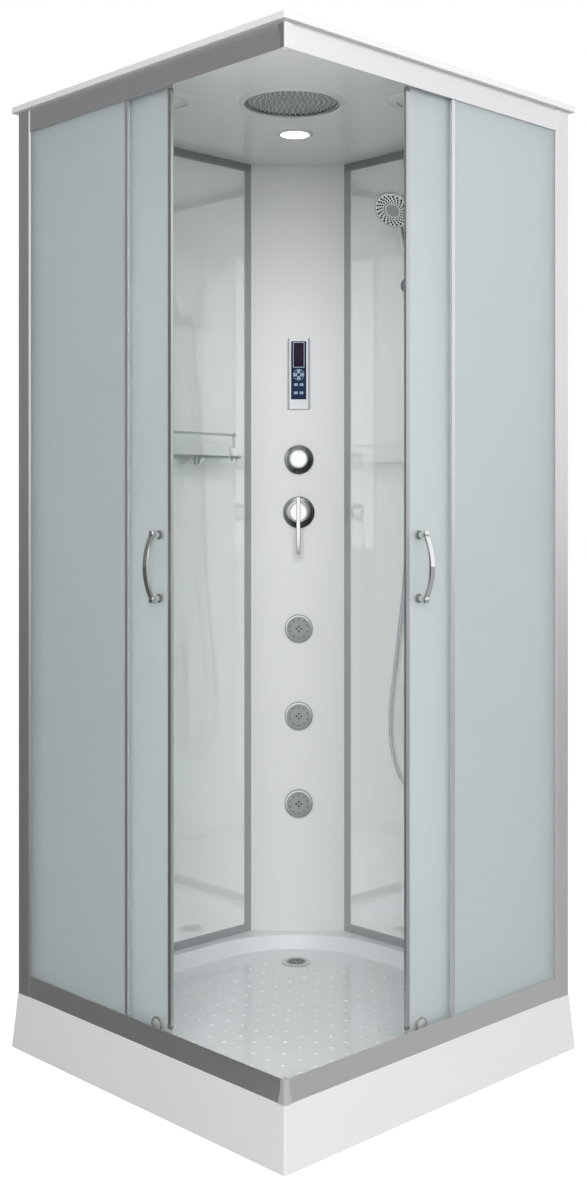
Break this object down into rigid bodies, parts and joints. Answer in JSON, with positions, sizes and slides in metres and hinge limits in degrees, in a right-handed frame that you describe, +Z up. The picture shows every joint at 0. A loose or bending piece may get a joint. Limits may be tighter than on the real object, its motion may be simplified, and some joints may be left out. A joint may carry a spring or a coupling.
{
  "type": "shower cabin",
  "caption": "Square corner shower cabin with a tray, frosted sliding glass doors, a diagonal shower tower, a rain shower, a hand shower and a shelf.",
  "frame": {"origin": "centre of the square footprint, on the floor", "axes": "+Z up; the open entry corner is at +X -Y, the glazed sides face +X and -Y, the walls are at -X and +Y, and the tower stands across the corner at -X +Y"},
  "size_m": [0.913, 0.9135, 2.143],
  "materials": {
    "acrylic": "gloss",
    "zinc_steel": "satin",
    "feet_plastic": "matte",
    "trap_plastic": "matte",
    "chrome": "polished",
    "plastic_chrome": "chrome plated",
    "profile": "satin anodised",
    "frosted_glass": "frosted",
    "back_glass": "gloss, white backed",
    "clear_glass": "gloss",
    "tower_sheet": "satin",
    "silver_plastic": "satin silver",
    "dark_panel": "gloss",
    "key_plastic": "gloss",
    "jet_plastic": "satin",
    "lamp": "translucent",
    "nozzle_plate": "gloss",
    "brass": "satin",
    "door_profile": "satin anodised",
    "roller_plastic": "satin"
  },
  "bodies": {
    "cabin": {"tray": "acrylic", "tray_frame": "zinc_steel", "tray_feet": "feet_plastic", "drain_trap": "trap_plastic", "drain_grate": "chrome", "track_rails": "profile", "corner_caps": "chrome", "side_profiles": "profile", "fixed_glasses": "frosted_glass", "wall_glasses": "back_glass", "wall_frames": "profile", "tower_panel": "tower_sheet", "control_case": "silver_plastic", "control_screen": "dark_panel", "diverter_flange": "chrome", "mixer_flange": "chrome", "jet_rings": "jet_plastic", "roof": "acrylic", "rain_head": "jet_plastic", "ceiling_trims": "acrylic", "lamp_lens": "lamp", "ceiling_units": "feet_plastic", "holder_bracket": "chrome", "shower_hose": "chrome", "hose_outlet": "chrome", "shelf_glass": "clear_glass", "shelf_fittings": "chrome", "pipework": "brass"},
    "door_left": {"door_glass_left": "frosted_glass", "door_fittings_left": "door_profile", "door_handle_left": "chrome"},
    "door_right": {"door_glass_right": "frosted_glass", "door_fittings_right": "door_profile", "door_handle_right": "chrome"},
    "handset": {"handset": "plastic_chrome", "handset_face": "nozzle_plate", "holder_cradle": "chrome"},
    "mixer_cartridge": {"mixer_cartridge": "feet_plastic"},
    "mixer_lever": {"mixer_lever": "chrome"},
    "diverter_knob": {"diverter_knob": "chrome"},
    "fan_rotor": {"fan_rotor": "feet_plastic"},
    "roller_left_top_front": {"roller_left_top_front": "roller_plastic"},
    "roller_left_top_back": {"roller_left_top_back": "roller_plastic"},
    "roller_left_low_front": {"roller_left_low_front": "roller_plastic"},
    "roller_left_low_back": {"roller_left_low_back": "roller_plastic"},
    "roller_right_top_front": {"roller_right_top_front": "roller_plastic"},
    "roller_right_top_back": {"roller_right_top_back": "roller_plastic"},
    "roller_right_low_front": {"roller_right_low_front": "roller_plastic"},
    "roller_right_low_back": {"roller_right_low_back": "roller_plastic"},
    "key_up": {"key_up": "key_plastic"},
    "key_down": {"key_down": "key_plastic"},
    "key_left": {"key_left": "key_plastic"},
    "key_right": {"key_right": "key_plastic"},
    "key_power": {"key_power": "key_plastic"},
    "key_light": {"key_light": "key_plastic"},
    "key_radio": {"key_radio": "key_plastic"},
    "key_fan": {"key_fan": "key_plastic"},
    "jet_top": {"jet_top": "jet_plastic"},
    "jet_middle": {"jet_middle": "jet_plastic"},
    "jet_bottom": {"jet_bottom": "jet_plastic"}
  },
  "joints": [
    {"name": "door_left_slide", "type": "slide", "parent": "cabin", "child": "door_left", "axis": [1, 0, 0], "range_m": [0, 0.3265]},
    {"name": "door_right_slide", "type": "slide", "parent": "cabin", "child": "door_right", "axis": [0, -1, 0], "range_m": [0, 0.3265]},
    {"name": "roller_left_top_front_roll", "type": "hinge", "parent": "door_left", "child": "roller_left_top_front", "pos_m": [0.049, -0.412, 2.091], "axis": [0, 1, 0], "range_deg": [-10, 2022]},
    {"name": "roller_left_top_back_roll", "type": "hinge", "parent": "door_left", "child": "roller_left_top_back", "pos_m": [-0.335, -0.412, 2.091], "axis": [0, 1, 0], "range_deg": [-10, 2022]},
    {"name": "roller_left_low_front_roll", "type": "hinge", "parent": "door_left", "child": "roller_left_low_front", "pos_m": [0.049, -0.412, 0.1406], "axis": [0, 1, 0], "range_deg": [-10, 2022]},
    {"name": "roller_left_low_back_roll", "type": "hinge", "parent": "door_left", "child": "roller_left_low_back", "pos_m": [-0.335, -0.412, 0.1406], "axis": [0, 1, 0], "range_deg": [-10, 2022]},
    {"name": "roller_right_top_front_roll", "type": "hinge", "parent": "door_right", "child": "roller_right_top_front", "pos_m": [0.412, -0.049, 2.091], "axis": [1, 0, 0], "range_deg": [-10, 2022]},
    {"name": "roller_right_top_back_roll", "type": "hinge", "parent": "door_right", "child": "roller_right_top_back", "pos_m": [0.412, 0.335, 2.091], "axis": [1, 0, 0], "range_deg": [-10, 2022]},
    {"name": "roller_right_low_front_roll", "type": "hinge", "parent": "door_right", "child": "roller_right_low_front", "pos_m": [0.412, -0.049, 0.1406], "axis": [1, 0, 0], "range_deg": [-10, 2022]},
    {"name": "roller_right_low_back_roll", "type": "hinge", "parent": "door_right", "child": "roller_right_low_back", "pos_m": [0.412, 0.335, 0.1406], "axis": [1, 0, 0], "range_deg": [-10, 2022]},
    {"name": "key_up_press", "type": "slide", "parent": "cabin", "child": "key_up", "axis": [-0.7071, 0.7071, 0], "range_m": [0, 0.0008], "stiffness_N_per_m": 500},
    {"name": "key_down_press", "type": "slide", "parent": "cabin", "child": "key_down", "axis": [-0.7071, 0.7071, 0], "range_m": [0, 0.0008], "stiffness_N_per_m": 500},
    {"name": "key_left_press", "type": "slide", "parent": "cabin", "child": "key_left", "axis": [-0.7071, 0.7071, 0], "range_m": [0, 0.0008], "stiffness_N_per_m": 500},
    {"name": "key_right_press", "type": "slide", "parent": "cabin", "child": "key_right", "axis": [-0.7071, 0.7071, 0], "range_m": [0, 0.0008], "stiffness_N_per_m": 500},
    {"name": "key_power_press", "type": "slide", "parent": "cabin", "child": "key_power", "axis": [-0.7071, 0.7071, 0], "range_m": [0, 0.0008], "stiffness_N_per_m": 500},
    {"name": "key_light_press", "type": "slide", "parent": "cabin", "child": "key_light", "axis": [-0.7071, 0.7071, 0], "range_m": [0, 0.0008], "stiffness_N_per_m": 500},
    {"name": "key_radio_press", "type": "slide", "parent": "cabin", "child": "key_radio", "axis": [-0.7071, 0.7071, 0], "range_m": [0, 0.0008], "stiffness_N_per_m": 500},
    {"name": "key_fan_press", "type": "slide", "parent": "cabin", "child": "key_fan", "axis": [-0.7071, 0.7071, 0], "range_m": [0, 0.0008], "stiffness_N_per_m": 500},
    {"name": "diverter_turn", "type": "hinge", "parent": "cabin", "child": "diverter_knob", "pos_m": [-0.32087, 0.32512, 1.343], "axis": [0.7071, -0.7071, 0], "range_deg": [-120, 120]},
    {"name": "mixer_turn", "type": "hinge", "parent": "cabin", "child": "mixer_cartridge", "pos_m": [-0.3237, 0.32794, 1.206], "axis": [0.7071, -0.7071, 0], "range_deg": [-45, 45]},
    {"name": "mixer_lift", "type": "hinge", "parent": "mixer_cartridge", "child": "mixer_lever", "pos_m": [-0.3237, 0.32794, 1.206], "axis": [-0.7071, -0.7071, 0], "range_deg": [0, 18]},
    {"name": "cradle_turn", "type": "hinge", "parent": "cabin", "child": "handset", "pos_m": [0.017, 0.395, 1.757], "axis": [0, 1, 0], "range_deg": [-20, 20], "deforming": ["shower_hose"]},
    {"name": "fan_spin", "type": "hinge", "parent": "cabin", "child": "fan_rotor", "pos_m": [0.27719, 0.12728, 2.115], "axis": [0, 0, 1], "continuous": true},
    {"name": "jet_top_tilt", "type": "hinge", "parent": "cabin", "child": "jet_top", "pos_m": [-0.34774, 0.35199, 0.905], "axis": [0.7071, 0.7071, 0], "range_deg": [-12, 12]},
    {"name": "jet_middle_tilt", "type": "hinge", "parent": "cabin", "child": "jet_middle", "pos_m": [-0.34774, 0.35199, 0.679], "axis": [0.7071, 0.7071, 0], "range_deg": [-12, 12]},
    {"name": "jet_bottom_tilt", "type": "hinge", "parent": "cabin", "child": "jet_bottom", "pos_m": [-0.34774, 0.35199, 0.452], "axis": [0.7071, 0.7071, 0], "range_deg": [-12, 12]}
  ],
  "couplings": [
    {"joint": "roller_left_top_front_roll", "follows": "door_left_slide", "rad_per_m": 107.53},
    {"joint": "roller_left_top_back_roll", "follows": "door_left_slide", "rad_per_m": 107.53},
    {"joint": "roller_left_low_front_roll", "follows": "door_left_slide", "rad_per_m": 107.53},
    {"joint": "roller_left_low_back_roll", "follows": "door_left_slide", "rad_per_m": 107.53},
    {"joint": "roller_right_top_front_roll", "follows": "door_right_slide", "rad_per_m": 107.53},
    {"joint": "roller_right_top_back_roll", "follows": "door_right_slide", "rad_per_m": 107.53},
    {"joint": "roller_right_low_front_roll", "follows": "door_right_slide", "rad_per_m": 107.53},
    {"joint": "roller_right_low_back_roll", "follows": "door_right_slide", "rad_per_m": 107.53}
  ]
}
